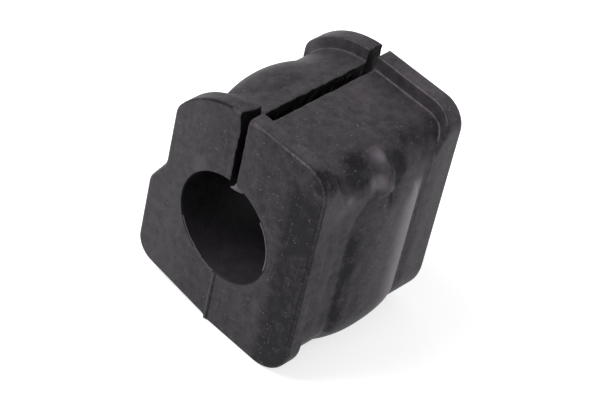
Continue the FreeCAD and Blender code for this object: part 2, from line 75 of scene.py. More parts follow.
class BushingSizes(bpy.types.PropertyGroup):
    """Sizes of the visible rubber, in millimetres of the real part."""
    bore_radius: bpy.props.FloatProperty(
        name="Bore radius", description="Radius of the bore wall in mm", default=11.5)
    half_length: bpy.props.FloatProperty(
        name="Half length", description="Half the length along the bore in mm", default=18.7)
    right_reach: bpy.props.FloatProperty(
        name="Right reach", description="Bore axis to the square side in mm", default=21.46)
    foot_reach: bpy.props.FloatProperty(
        name="Foot reach", description="Bore axis to the foot side in mm", default=20.6)
    head_reach: bpy.props.FloatProperty(
        name="Head reach", description="Bore axis to the head side of the front flange in mm", default=17.08)
    head_reach_rear: bpy.props.FloatProperty(
        name="Rear head reach", description="Bore axis to the rear flange's head side in mm", default=16.4)
    base_drop: bpy.props.FloatProperty(
        name="Base drop", description="Bore axis to the flat base in mm", default=24.5)
    base_step: bpy.props.FloatProperty(
        name="Base step", description="Rise of the nub beside the moulding line in mm", default=0.6)
    base_nub: bpy.props.FloatProperty(
        name="Base nub", description="Width of the nub beside the moulding line in mm", default=1.2)
    base_slope: bpy.props.FloatProperty(
        name="Base slope", description="Slope of the base's left half", subtype="ANGLE",
        default=math.radians(7.15))
    crown_rise: bpy.props.FloatProperty(
        name="Crown rise", description="Bore axis to the flange top in mm", default=27.9)
    crown_depth: bpy.props.FloatProperty(
        name="Crown depth", description="Front crown top to its corner's centre in mm", default=11.27)
    crown_depth_rear: bpy.props.FloatProperty(
        name="Rear crown depth", description="Rear crown top to its corner's centre in mm", default=10.27)
    crown_blend: bpy.props.FloatProperty(
        name="Crown blend", description="Radius between the crown and the head's side in mm", default=4.0)
    flange_corner: bpy.props.FloatProperty(
        name="Flange corner", description="Radius of the flanges' top corner in mm", default=5.4)
    heel_front: bpy.props.FloatProperty(
        name="Front heel", description="Radius of the front flange's heel in mm", default=8.05)
    heel_rear: bpy.props.FloatProperty(
        name="Rear heel", description="Radius of the rear flange's and the waist's heel in mm", default=11.7)
    foot_corner: bpy.props.FloatProperty(
        name="Foot corner", description="Radius under the foot in mm", default=4.8)
    foot_shoulder: bpy.props.FloatProperty(
        name="Foot shoulder", description="Bore axis to the foot shoulder's centre in mm", default=3.45)
    shoulder_round: bpy.props.FloatProperty(
        name="Shoulder rounding", description="Radius of the foot shoulder in mm", default=4.0)
    neck_height: bpy.props.FloatProperty(
        name="Neck height", description="Bore axis to the neck's centre in mm", default=4.83)
    neck_round: bpy.props.FloatProperty(
        name="Neck rounding", description="Radius of the neck under the head in mm", default=4.0)
    flange_front: bpy.props.FloatProperty(
        name="Front flange", description="Thickness of the front flange in mm", default=3.6)
    flange_rear: bpy.props.FloatProperty(
        name="Rear flange", description="Thickness of the rear flange in mm", default=3.65)
    waist_drop: bpy.props.FloatProperty(
        name="Waist drop", description="Waist below the flange top, right half, in mm", default=3.2)
    waist_corner: bpy.props.FloatProperty(
        name="Waist corner", description="Radius of the waist's top corner in mm", default=6.4)
    waist_inset: bpy.props.FloatProperty(
        name="Waist inset", description="Waist inside the flange, left half, in mm", default=2.2)
    waist_crown_drop: bpy.props.FloatProperty(
        name="Waist crown drop", description="Waist crown below the flange top in mm", default=3.0)
    waist_crown_depth: bpy.props.FloatProperty(
        name="Waist crown depth", description="Waist crown top to its corner's centre in mm", default=9.0)
    rim_round: bpy.props.FloatProperty(
        name="Rim rounding", description="Rounding of the end rims in mm", default=0.6)
    bore_round: bpy.props.FloatProperty(
        name="Bore rounding", description="How far the bore opens at its ends in mm", default=0.3)
    bead_proud: bpy.props.FloatProperty(
        name="Bead height", description="How far the bead stands out in mm", default=1.5)
    bead_front: bpy.props.FloatProperty(
        name="Bead front", description="Reach of the bead's gentle front flank in mm", default=8.6)
    bead_rear: bpy.props.FloatProperty(
        name="Bead rear", description="Reach of the bead's steep rear flank in mm", default=9.6)
    bead_top: bpy.props.FloatProperty(
        name="Bead top", description="Bore axis to the start of the bead's round end in mm", default=9.8)
    bead_cap: bpy.props.FloatProperty(
        name="Bead cap", description="Height of the bead's round end in mm", default=8.7)
    ridge_proud: bpy.props.FloatProperty(
        name="Ridge height", description="How far the corner ridge stands out in mm", default=1.3)
    ridge_half_width: bpy.props.FloatProperty(
        name="Ridge half width", description="Half the width of the corner ridge in mm", default=2.6)
    ridge_round: bpy.props.FloatProperty(
        name="Ridge rounding", description="Radius of the ridge's crest over the corner in mm", default=6.6)
    ridge_shift: bpy.props.FloatProperty(
        name="Ridge shift", description="Ridge from mid length along the bore in mm", default=-1.4)
    hump_proud: bpy.props.FloatProperty(
        name="Hump height", description="How far the left hump stands out in mm", default=1.15)
    hump_half_width: bpy.props.FloatProperty(
        name="Hump half width", description="Half the width of the left hump in mm", default=7.6)
    hump_round: bpy.props.FloatProperty(
        name="Hump rounding", description="Radius of the hump's crest over the crown in mm", default=9.5)
    hump_shift: bpy.props.FloatProperty(
        name="Hump shift", description="Hump from mid length along the bore in mm", default=-0.8)
    hump_height: bpy.props.FloatProperty(
        name="Hump height centre", description="Bore axis to the hump's centre in mm", default=14.97)
    slit_front: bpy.props.FloatProperty(
        name="Slit, front", description="Width of the slit in the front flange in mm", default=1.7)
    slit_rear: bpy.props.FloatProperty(
        name="Slit, rear", description="Width of the slit behind its flare in mm", default=2.2)
    slit_flare: bpy.props.FloatProperty(
        name="Slit flare", description="Length over which the slit widens in mm", default=4.0)


class BushingLooks(bpy.types.PropertyGroup):
    """Colours of the rubber, its dust and the stage."""
    rubber: bpy.props.FloatVectorProperty(
        name="Rubber", description="Base colour of the rubber", subtype="COLOR", size=3,
        default=(0.0122, 0.0108, 0.0126))
    # colour of the bloom and of the painted highlights
    bloom_and_painted_light: bpy.props.FloatVectorProperty(
        name="Bloom", description="Colour of the pale bloom on the rubber", subtype="COLOR", size=3,
        default=(0.0625, 0.0545, 0.0635))
    dust: bpy.props.FloatVectorProperty(
        name="Dust", description="Colour of dust specks", subtype="COLOR", size=3,
        default=(0.42, 0.41, 0.42))
    floor: bpy.props.FloatVectorProperty(
        name="Floor", description="Colour of the floor", subtype="COLOR", size=3,
        default=(0.9, 0.9, 0.9))


def sizes():
    """Sizes as they are set in the panel."""
    return bpy.context.scene.bushing_sizes


def looks():
    """Colours as they are set in the panel."""
    return bpy.context.scene.bushing_looks


def add_object(name, data):
    """New object in the scene."""
    obj = bpy.data.objects.new(name, data)
    bpy.context.scene.collection.objects.link(obj)
    return obj


def empty_tree(owner):
    """Emptied node tree of a material or a world."""
    owner.use_nodes = True
    owner.node_tree.nodes.clear()
    return owner.node_tree


def smooth(x):
    """Soft step from zero to one."""
    x = np.clip(x, 0.0, 1.0)
    return x * x * (3 - 2 * x)


def rises(value, start, run):
    """Zero up to the start, then a soft rise to one over the run; a negative run looks downwards."""
    return smooth((value - start) / run)


def near_line(value, centre, reach):
    """One at the centre, fading on both sides over about the reach."""
    return np.exp(-((value - centre) / reach) ** 2)


# Outline

def line(a, b):
    """Length of a straight stretch, and its points and outward normals at shares of it."""
    a = np.array(a, float)
    b = np.array(b, float)
    d = (b - a) / np.linalg.norm(b - a)
    normal = np.array([-d[1], d[0]])
    return np.linalg.norm(b - a), lambda u: (a + (b - a) * u[:, None], np.repeat(normal[None], len(u), 0))


def arc(centre, radius, first, last, sign=1.0):
    """Length of a round stretch, and its points and outward normals at shares of it."""
    def at(u):
        angle = first + (last - first) * u
        radial = np.stack([np.cos(angle), np.sin(angle)], 1)
        return np.array(centre) + radius * radial, sign * radial
    return abs(last - first) * radius, at


def outline(size, heel, corner, head, depth, drop=0.0, crown_drop=0.0, counts=None):
    """Outline of one cross section, clockwise from the slit's right lip to its left lip.
    Gives points, outward normals, the number of points on each stretch and where each starts."""
    base = size.base_drop
    right = size.right_reach
    foot = size.foot_reach
    r_blend = size.crown_blend
    r_neck = size.neck_round
    r_shoulder = size.shoulder_round
    r_foot = size.foot_corner
    slope = size.base_slope
    top = size.crown_rise - drop
    lip = size.slit_front / 2
    half_turn = math.pi
    quarter = math.pi / 2

    # dome of the head, tangent to the rounding of its side
    span = head - r_blend
    dome = (depth ** 2 + span ** 2 - r_blend ** 2) / (2 * (depth - r_blend))
    dome_z = size.crown_rise - crown_drop - dome
    blend = (-head + r_blend, dome_z + dome - depth)
    blend_angle = math.atan2(blend[1] - dome_z, blend[0])

    # line between the neck and the foot shoulder, tangent to both
    neck = (-head - r_neck, size.neck_height)
    shoulder = (-foot + r_shoulder, -size.foot_shoulder)
    outward = shoulder[0] - neck[0]
    upward = shoulder[1] - neck[1]
    cross = math.atan2(upward, outward) + math.acos((r_neck + r_shoulder) / math.hypot(outward, upward))
    neck_end = (neck[0] + r_neck * math.cos(cross), neck[1] + r_neck * math.sin(cross))
    shoulder_top = (shoulder[0] - r_shoulder * math.cos(cross), shoulder[1] - r_shoulder * math.sin(cross))

    # sloping left half of the base
    step = (-size.base_nub, -base + size.base_step)
    foot_x = -foot + r_foot
    foot_c = (foot_x, step[1] + (step[0] - foot_x) * math.tan(slope) + r_foot / math.cos(slope))
    foot_low = (foot_c[0] - r_foot * math.sin(slope), foot_c[1] - r_foot * math.cos(slope))

    stretches = [
        line((lip, top), (right - corner, top)),
        arc((right - corner, top - corner), corner, quarter, 0.0),
        line((right, top - corner), (right, -base + heel)),
        arc((right - heel, -base + heel), heel, 0.0, -quarter),
        line((right - heel, -base), (0.0, -base)),
        line((0.0, -base), step),
        line(step, foot_low),
        arc(foot_c, r_foot, 3 * quarter - slope, half_turn),
        line((-foot, foot_c[1]), (-foot, shoulder[1])),
        arc(shoulder, r_shoulder, half_turn, cross + half_turn),
        line(shoulder_top, neck_end),
        arc(neck, r_neck, cross, 0.0, -1.0),
        line((-head, neck[1]), (-head, blend[1])),
        arc(blend, r_blend, half_turn, blend_angle),
        arc((0.0, dome_z), dome, blend_angle, quarter + math.asin(lip / dome)),
    ]
    if counts is None:
        spacing, round_spacing, fewest, nub_points = 0.56, 0.46, 3, 8
        counts = [max(fewest, int(round(length / (round_spacing if k in ROUND_STRETCHES else spacing))))
                  for k, (length, _) in enumerate(stretches)]
        counts[NUB] = nub_points
    points, normals = [], []
    for k, (_, at) in enumerate(stretches):
        u = np.arange(counts[k]) / counts[k]
        if k == SEAT:
            closer_to_line = 1.25
            u = 1 - (1 - u) ** closer_to_line
        if k == DOME:
            u = np.arange(counts[k] + 1) / counts[k]
        p, n = at(u)
        points.append(p)
        normals.append(n)
    points = np.concatenate(points)
    normals = np.concatenate(normals)
    starts = np.cumsum([0] + counts)
    # soft normals where two straight stretches meet
    for k in (NUB, SLOPE):
        i = starts[k]
        n = normals[i - 1] + normals[i + 1]
        normals[i] = n / np.linalg.norm(n)
    return points, normals, counts, starts


def slit_half(size, y):
    """Half width of the slit at distance y: narrow in the front flange, then flaring."""
    neck = -size.half_length + size.flange_front
    u = min(max((y - neck) / size.slit_flare, 0.0), 1.0)
    return (size.slit_front + (size.slit_rear - size.slit_front) * u) / 2


def part_lips(size, x, z, y):
    """Moves points near the slit apart to its width at this row."""
    drawn_along, above = 3.0, 5.0
    half = size.slit_front / 2
    extra = slit_half(size, y) - half
    share = np.clip(1 - (np.abs(x) - half) / drawn_along, 0, 1) * (z > above)
    return x + np.sign(x) * extra * share


def swell(v, half, proud):
    """Section of a raised bead across v, an arc of the given half width and height."""
    u = np.clip(np.abs(v) / half, 0.0, 1.0)
    return proud * (1 - u ** 2)


def reach_circle(points, normals, centre, radius):
    """How far each point lies below a circle, measured along its own normal."""
    away = points - np.array(centre)
    b = (normals * away).sum(1)
    c = (away ** 2).sum(1) - radius ** 2
    root = b * b - c
    return np.where(root > 0, -b + np.sqrt(np.maximum(root, 0.0)), 0.0)


# Rubber body

def wall_rows():
    """Rows over one flange wall: a rounded edge, the wall and the hollow at its foot. Each holds
    the distance from the wall and the share of waist there, crisp first and then faded."""
    edge, hollow, soft = 0.3, 0.32, 3.4
    edge_share, hollow_share = 0.1, 0.12
    wall_at, foot_at = 0.03, 0.05
    crisp = [(-edge + edge * math.sin(a), edge_share * (1 - math.cos(a)))
             for a in np.radians([22.5, 45, 67.5, 90])]
    crisp += [(wall_at, share) for share in (0.3, 0.5, 0.7)]
    crisp += [(foot_at + hollow * (1 - math.cos(a)), 1 - hollow_share * (1 - math.sin(a)))
              for a in np.radians([0, 22, 45, 67, 90])]
    steps = len(crisp)
    faded = [(-edge + soft * (k + 1) / steps, float(smooth((k + 1) / steps))) for k in range(steps)]
    return edge, soft, crisp, faded


def end_rows(size, end, wall, which):
    """Rows over one flange, from its end face to the foot of its wall."""
    edge, _, crisp, faded = wall_rows()
    inward = -math.copysign(1.0, end)
    r = size.rim_round
    rim_rows = flange_rows = 7
    rows = []
    for k in range(rim_rows):
        a = math.pi / 2 * k / (rim_rows - 1)
        y = end + inward * r * (1 - math.cos(a))
        rows.append((y, 0.0, y, 0.0, r * (1 - math.sin(a)), which))
    for y in np.linspace(end + inward * r, wall - inward * edge, flange_rows)[1:]:
        rows.append((y, 0.0, y, 0.0, 0.0, which))
    for (dy, share), (dw, wide) in zip(crisp, faded):
        rows.append((wall + inward * dy, share, wall + inward * dw, wide, 0.0, which))
    return rows


def stations(size):
    """Rows along the bore. Each holds the distance y and the share of waist for the crisp
    flange walls, the same two where the wall fades out, the rim inset and the flange (0, 1)."""
    front_wall = -size.half_length + size.flange_front
    rear_wall = size.half_length - size.flange_rear
    edge, soft, crisp, _ = wall_rows()
    reach = crisp[-1][0]
    margin, bead_foot, ridge_foot = 0.3, 9.2, 2.4
    closest, widening = 0.22, 0.14
    y = front_wall + reach
    inner = []
    while y < rear_wall - reach:
        # closer rows at the bead's rear foot and at both feet of the ridge
        from_ridge = abs(y - size.ridge_shift)
        away = min(abs(y - bead_foot) / 0.9, abs(from_ridge - ridge_foot) / 0.8, 2.0)
        y += closest + widening * away
        inner.append(y)
    first = inner[0] - margin
    last = rear_wall - reach
    scale = (last - first) / (inner[-1] + margin - first)
    rows = end_rows(size, -size.half_length, front_wall, 0)
    for y in inner:
        y = first + (y - first) * scale
        wide_y = np.interp(y, (front_wall + reach, rear_wall - reach),
                           (front_wall - edge + soft, rear_wall + edge - soft))
        rows.append((y, 1.0, wide_y, 1.0, 0.0, 0 if y < 0 else 1))
    rows += reversed(end_rows(size, size.half_length, rear_wall, 1))
    return np.array(rows, float)


def bead_relief(size, waist, normals, starts, y):
    """Outward relief of the waist at one row: bead, corner ridge and left hump.
    y: distance along the bore of each point."""
    x, z = waist[:, 0], waist[:, 1]
    order = np.arange(len(waist))

    # bead: down the square side and round the heel; gentle front flank, steep rear flank
    above = np.clip((z - size.bead_top) / size.bead_cap, 0.0, 1.0)
    half = np.where(y < 0, size.bead_front, size.bead_rear)
    gentle, steep = 1.0, 0.55
    flank = np.where(y < 0, gentle, steep)
    across = np.clip((y / half) ** 2 + above ** 2, 0.0, 1.0)
    bead = size.bead_proud * (1 - across) ** flank
    bead *= (order >= starts[CORNER]) & (order <= starts[SEAT])

    # ridge: narrow, round the top corner, dying out on the flat and above the bead
    centre = (size.right_reach + size.ridge_proud - size.ridge_round,
              size.crown_rise - size.waist_drop - size.waist_corner)
    rise = swell(y - size.ridge_shift, size.ridge_half_width, size.ridge_proud)
    ridge = reach_circle(waist, normals, centre, size.ridge_round - size.ridge_proud + rise)
    ridge_start = 12.5
    ridge = np.where(z < centre[1], rise, ridge) * (order < starts[HEEL]) * (rise > 0) * (x > ridge_start)
    ridge = np.maximum(ridge, 0.0) * rises(z, centre[1] - 3.0, 2.8)

    # hump: left side, over the side of the crown and down to the foot shoulder
    centre = (-size.head_reach + size.waist_inset + size.hump_round - size.hump_proud, size.hump_height)
    rise = swell(y - size.hump_shift, size.hump_half_width, size.hump_proud)
    hump = reach_circle(waist, normals, centre, size.hump_round - size.hump_proud + rise)
    hump = np.where(z < centre[1], rise, hump) * (order >= starts[LINK]) * (rise > 0)
    hump = np.maximum(hump, 0.0) * rises(z, -0.5, 3.0)

    # the ridge flows into the bead where they meet
    meet, share = 0.5, 0.25
    join = np.minimum(bead, ridge) * np.exp(-np.abs(bead - ridge) / meet)
    return np.maximum(bead, ridge) + share * join + hump


def build_blocks(size):
    """Positions of the bore wall and the outer skin, row by row along the bore."""
    front, n_front, counts, starts = outline(
        size, size.heel_front, size.flange_corner, size.head_reach, size.crown_depth)
    rear, n_rear, _, _ = outline(
        size, size.heel_rear, size.flange_corner, size.head_reach_rear, size.crown_depth_rear, counts=counts)
    waist, n_waist, _, _ = outline(
        size, size.heel_rear, size.waist_corner, size.head_reach - size.waist_inset, size.waist_crown_depth,
        size.waist_drop, size.waist_crown_drop, counts)
    rows = stations(size)

    # the bore's points turn with the outline's, from one lip of the slit to the other
    polar = np.unwrap(np.arctan2(front[:, 1], front[:, 0]))
    lip = math.asin(size.slit_front / 2 / size.bore_radius)
    start = math.pi / 2 - lip
    end = math.pi / 2 + lip - 2 * math.pi
    turn = start + (polar - polar[0]) * (end - start) / (polar[-1] - polar[0])
    ring = np.stack([np.cos(turn), np.sin(turn)], 1)

    # the flange walls fade from the middle of the top corner down the square side
    order = np.arange(len(front))
    corner = (order - starts[CORNER]) / (starts[SIDE] - starts[CORNER])
    side = (order - starts[SIDE]) / (starts[HEEL] - starts[SIDE])
    fade = rises(corner, 0.3, 0.5) * (1 - rises(side, 0.7, 0.25))

    # beside the slit, the head's inner wall leans back and its front rim is rounder
    lip_reach, head_low = 3.5, 20.0
    lean, lean_run, rounder = 1.2, 6.0, 1.6
    from_lip = np.abs(front[:, 0]) - size.slit_front / 2
    near = np.clip(1 - from_lip / lip_reach, 0, 1) * (front[:, 1] > head_low)
    near_left = smooth(near) * (front[:, 0] < 0)
    wall = -size.half_length + size.flange_front
    lean_rows = (-size.half_length + size.rim_round, wall - 0.3, wall + 0.4, wall + lean_run)

    outer = np.zeros((len(rows), len(front), 3))
    bore = np.zeros_like(outer)
    for j, (y, share, wide_y, wide_share, inset, which) in enumerate(rows):
        flange, normal = (rear, n_rear) if which else (front, n_front)
        share = (share + (wide_share - share) * fade)[:, None]
        along = y + (wide_y - y) * fade
        along = along + lean * np.interp(y, lean_rows, (0.0, 1.0, 1.0, 0.0)) * near_left
        round_off = inset * (1 + (rounder * smooth(near) if which == 0 else 0.0))
        flat = flange * (1 - share) + waist * share - normal * np.reshape(round_off, (-1, 1))
        relief = bead_relief(size, waist, n_waist, starts, along) * (share[:, 0] > 0.999)
        flat = flat + n_waist * relief[:, None]
        outer[j, :, 0] = part_lips(size, flat[:, 0], flat[:, 1], y)
        outer[j, :, 1] = along
        outer[j, :, 2] = flat[:, 1]
        opening = size.bore_radius + size.bore_round * inset / size.rim_round
        bore[j, :, 0] = part_lips(size, ring[:, 0] * opening, ring[:, 1] * opening, y)
        bore[j, :, 1] = y
        bore[j, :, 2] = np.sign(ring[:, 1]) * np.sqrt(opening ** 2 - bore[j, :, 0] ** 2)
    outer[:, :, 2] = np.maximum(outer[:, :, 2], -size.base_drop)
    return bore, outer


def box_mesh(name, bore, outer, layers):
    """Closed shell of the block between the bore wall and the outer skin, in metres. Also gives
    the vertex of each row, place round the outline and layer."""
    rows, around, _ = outer.shape
    index = {}
    points = []

    def vertex(j, i, t):
        key = (j, i, t)
        if key not in index:
            index[key] = len(points)
            points.append(bore[j, i] * (1 - layers[t]) + outer[j, i] * layers[t])
        return index[key]

    def face(*corners):
        faces.append(tuple(vertex(*corner) for corner in corners))

    last = len(layers) - 1
    faces = []
    for j in range(rows - 1):
        for i in range(around - 1):
            face((j, i, last), (j, i + 1, last), (j + 1, i + 1, last), (j + 1, i, last))
            face((j, i, 0), (j + 1, i, 0), (j + 1, i + 1, 0), (j, i + 1, 0))
    for t in range(last):
        j = rows - 1
        for i in range(around - 1):
            face((0, i, t), (0, i + 1, t), (0, i + 1, t + 1), (0, i, t + 1))
            face((j, i, t), (j, i, t + 1), (j, i + 1, t + 1), (j, i + 1, t))
        i = around - 1
        for j in range(rows - 1):
            face((j, 0, t), (j, 0, t + 1), (j + 1, 0, t + 1), (j + 1, 0, t))
            face((j, i, t), (j + 1, i, t), (j + 1, i, t + 1), (j, i, t + 1))
    mesh = bpy.data.meshes.new(name)
    mesh.from_pydata([tuple(p * MM) for p in points], [], faces)
    mesh.update()
    return mesh, index


def soften_lips(size, mesh, index, rows, around, last):
    """Breaks the slit's sharp lips a little and lets them wander as cut rubber does."""
    bm = bmesh.new()
    bm.from_mesh(mesh)
    bm.verts.ensure_lookup_table()
    lips = set()
    for i in (0, around - 1):
        for j in range(rows):
            lips.update((index[(j, i, 0)], index[(j, i, last)]))
        for t in range(last + 1):
            lips.update((index[(0, i, t)], index[(rows - 1, i, t)]))
    verts = [bm.verts[k] for k in sorted(lips)]
    bmesh.ops.smooth_vert(bm, verts=verts, factor=0.35, use_axis_x=True, use_axis_y=True, use_axis_z=True)
    lowest, widest, lip = 8.0, 2.2, 1.1
    worn_low, worn_run, worn_back = 23.0, 3.2, 0.8
    slow, quick, quick_share = 0.5, 1.7, 0.6
    for v in bm.verts:
        x, y, z = v.co / MM
        if z < lowest or abs(x) > widest:
            continue
        left = x < 0
        near = 1 - min(1.0, max(0.0, abs(x) - lip))
        reach, slow_seed, quick_seed = (0.24, 7.0, 3.0) if left else (0.15, 2.0, 5.0)
        wander = noise.noise(Vector((slow_seed, y * slow, z * slow))) * reach
        wander += noise.noise(Vector((quick_seed, y * quick, z * quick))) * reach * quick_share
        # the head's upper front corner is worn back from the slit
        high = max(0.0, (z - worn_low) / (size.crown_rise - worn_low))
        ahead = max(0.0, 1 - (y + size.half_length) / worn_run)
        worn = worn_back * high ** 2 * ahead if left else 0.0
        v.co.x += (wander - worn) * near * MM
    bm.normal_update()
    bm.to_mesh(mesh)
    bm.free()


# Broad tone of the rubber: pale bloom, painted shade in the hollows and on the corners, and painted
# highlights on the ridge:
# centre x, y, z and reach in mm, amount
TONES = (
    # painted shade in the hollow in front of the ridge, and in the one between the ridge and the bead
    (18.0, -7.2, 24.0, 5.2, -0.66),
    (19.8, -10.2, 22.6, 3.8, -0.28),
    (20.6, -7.4, 20.6, 3.0, -0.35),
    (20.2, 1.4, 22.2, 4.3, -1.00),
    (21.3, 1.9, 19.4, 3.0, -0.55),
    (21.6, 2.3, 20.8, 3.2, -0.80),
    (22.0, 0.6, 20.4, 2.9, -1.30),
    (22.0, 0.6, 15.9, 3.6, -0.45),
    # painted shade on the corner of the waist towards the rear flange
    (17.8, 6.5, 24.2, 4.6, -0.45),
    (18.8, 10.3, 23.4, 4.2, -0.40),
    # painted shade on the top corner of the front flange and the waist behind it
    (19.6, -16.8, 26.3, 3.8, -1.00),
    (19.6, -13.4, 23.6, 3.4, -0.75),
    (14.0, -13.4, 24.7, 3.6, -0.30),
    # two painted highlights on the ridge
    (21.6, -3.7, 20.4, 2.6, 2.20),
    (19.0, -1.7, 24.3, 2.0, 1.20),
    # pale patches on the side behind the front flange
    (21.2, -10.8, 19.6, 1.6, 0.90),
    (21.4, -12.4, 17.0, 3.4, 0.30),
    # front face left of the slit, rear of the head, rear flange top, flat top
    (-8.6, -18.7, 9.4, 3.2, 0.45),
    (-15.4, 15.2, 20.0, 3.6, 0.70),
    (12.0, 17.0, 27.9, 9.0, 0.35),
    (4.0, 9.0, 24.7, 9.0, 0.20),
)


def tone(points, inside):
    """Tone of the rubber at points in millimetres, bloom together with painted shade and painted highlights:
    0 dark, 1 pale.
    """
    x, y, z = points.T
    plain_tone, palest = 0.6, 2.4
    value = np.full(len(points), plain_tone)
    for cx, cy, cz, reach, amount in TONES:
        far = np.sqrt((x - cx) ** 2 + (y - cy) ** 2 + (z - cz) ** 2) / reach
        value += amount * (1 - smooth(far))

    # front face: darker along its right edge, paler at the far left
    face = y < -18.0
    value -= 0.12 * face
    value -= 0.42 * face * rises(x, 11.5, 4.0) * rises(z, 26.0, -9.0)
    value += 0.22 * face * rises(x, -3.0, -12.0)
    value -= 0.14 * face * rises(x, 3.0, 5.0) * rises(z, 6.0, 8.0)

    # bead: painted shade at its foot in front, a painted highlight on its rear flank whose upper end is
    # pointed
    side = x > 21.0
    bead_edge = 9.8
    highlight_top = 12.5 + 4.5 * rises(y, 3.0, 5.5)
    flank = rises(z, highlight_top, -5.0) * rises(y, 2.8, 6.2) * (y < bead_edge) * rises(z, -30.0, 12.0)
    value -= 0.62 * side * rises(z, 14.0, -9.0) * near_line(y, -7.6, 1.9)
    value -= 0.15 * side * rises(z, 12.5, -3.0) * near_line(y, -3.5, 3.0)
    value += 2.1 * side * flank

    # square side: dark line behind the bead, pale rear rim that is wider towards the heel,
    # and a darker band behind the front flange
    rim_start = 13.6 - 0.1 * (8.0 - z)
    value -= 0.32 * side * near_line(y, 11.2, 1.5)
    value += 0.20 * side * rises(y, rim_start, 1.6)
    value -= 0.22 * side * rises(y, -9.0, -1.5) * rises(z, 19.0, -6.0)
    value += 0.55 * side * rises(z, -16.5, -5.0) * rises(y, -8.0, 3.0)

    # painted highlight along the crest of the ridge; top of the front flange, and the head behind it
    crest = np.clip(1 - ((y + 1.9) / 1.9) ** 2, 0.0, 1.0)
    value += 0.30 * crest * (x > 16.5) * rises(z, 17.5, 1.5)
    value += 0.14 * (x > 1.0) * rises(x, 18.0, -3.0) * (z > 26.0) * (np.abs(y + 16.8) < 1.6)
    value -= 0.08 * (x < -3.0) * (z > 18.0) * (y < 14.0) * (y > -18.0)

    # bore and slit: painted shade, darkest at the top and a little pale towards the bottom
    value = np.where(inside, rises(z, 3.0, -16.0), value)
    return np.clip(value, 0.0, palest)


def painted_edge_lines(points, edges):
    """Painted highlights and painted shade on the edge lines at points in millimetres: pale above zero, dark
    below.
    """
    mask = np.zeros(len(points), np.float32)
    mask[sorted(edges)] = 1.0
    x, y, z = points.T
    # painted shade as a dark line on the domed head's front rim; painted highlights on the square side only
    # at its outer rims
    mask = np.where((x < -4.0) & (z > 18.0) & (y < -17.0), -1.2 * mask, mask)
    mask = np.where((x > 20.5) & (np.abs(y) < 17.5), 0.0, mask)
    mask = np.where((x > 12.0) & (y < -17.5), np.where(z > 14.0, 1.6, 0.9) * mask, mask)
    # brighter painted highlights on the rear flange's inner edge and along its foot, right of the slit
    mask = np.where((x > 2.0) & (y > 12.0) & (y < 17.5) & (z > 20.0), 1.8 * mask, mask)
    return np.where((x < 2.0) & (y > 8.0) & (y < 14.8), 0.0, mask)


def keep_values(mesh, name, values):
    """Keeps one value for each vertex on the mesh, for the material to read."""
    attribute = mesh.attributes.new(name, "FLOAT", "POINT")
    attribute.data.foreach_set("value", np.asarray(values, np.float32))


def paint_tone(mesh, inside, edges):
    """Keeps the tone with its painted shade and highlights, the bore and slit mask and the painted edge
    lines on the mesh for the material.
    """
    points = np.array([v.co for v in mesh.vertices]) / MM
    mask = np.zeros(len(points), np.float32)
    mask[sorted(inside)] = 1.0
    keep_values(mesh, "bloom_and_painted_light", tone(points, mask > 0))
    keep_values(mesh, "inside", mask)
    keep_values(mesh, "painted_edge_light", painted_edge_lines(points, edges))


def hold_inside(obj):
    """Keeps a piece inside the solid's own box."""
    low, high = CAD_BOX
    for v in obj.data.vertices:
        for axis in range(3):
            v.co[axis] = min(max(v.co[axis], low[axis]), high[axis])


def finish_piece(obj, replaces=False):
    """Smooth faces, rubber, and its place on the part."""
    for polygon in obj.data.polygons:
        polygon.use_smooth = True
    obj.data.materials.clear()
    obj.data.materials.append(rubber())
    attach(obj, BODY)
    if replaces:
        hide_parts(NODE)


# Node groups

def new_group(name, inputs, outputs, kind="ShaderNodeTree"):
    """Node group with named inputs and outputs."""
    group = bpy.data.node_groups.new(name, kind)
    for label, socket_kind, default in inputs:
        socket = group.interface.new_socket(name=label, in_out="INPUT", socket_type=socket_kind)
        if default is not None:
            socket.default_value = default
    for label, socket_kind in outputs:
        group.interface.new_socket(name=label, in_out="OUTPUT", socket_type=socket_kind)
    return group, group.nodes.new("NodeGroupInput"), group.nodes.new("NodeGroupOutput")


def put(tree, kind, links=None, **settings):
    """Adds a node, sets its properties, and links or sets its inputs."""
    node = tree.nodes.new(kind)
    for key, value in settings.items():
        setattr(node, key, value)
    for key, value in (links or {}).items():
        socket = node.inputs[key]
        if isinstance(value, bpy.types.NodeSocket):
            tree.links.new(value, socket)
        else:
            socket.default_value = value
    return node


def math_node(tree, operation, a, b=None, c=None, clamp=False):
    """Output of a node that works out a, b and c."""
    links = {0: a}
    if b is not None:
        links[1] = b
    if c is not None:
        links[2] = c
    return put(tree, "ShaderNodeMath", links, operation=operation, use_clamp=clamp).outputs[0]


def cloud(tree, place, scale, detail, roughness):
    """Value of soft, even noise at a place."""
    return put(tree, "ShaderNodeTexNoise", {
        "Vector": place, "Scale": scale, "Detail": detail, "Roughness": roughness}).outputs[0]


def spread(tree, value, low, high, top=0.7):
    """Noise value stretched to run from low to high."""
    return put(tree, "ShaderNodeMapRange", {
        "Value": value, "From Min": 0.3, "From Max": top, "To Min": low, "To Max": high}).outputs[0]


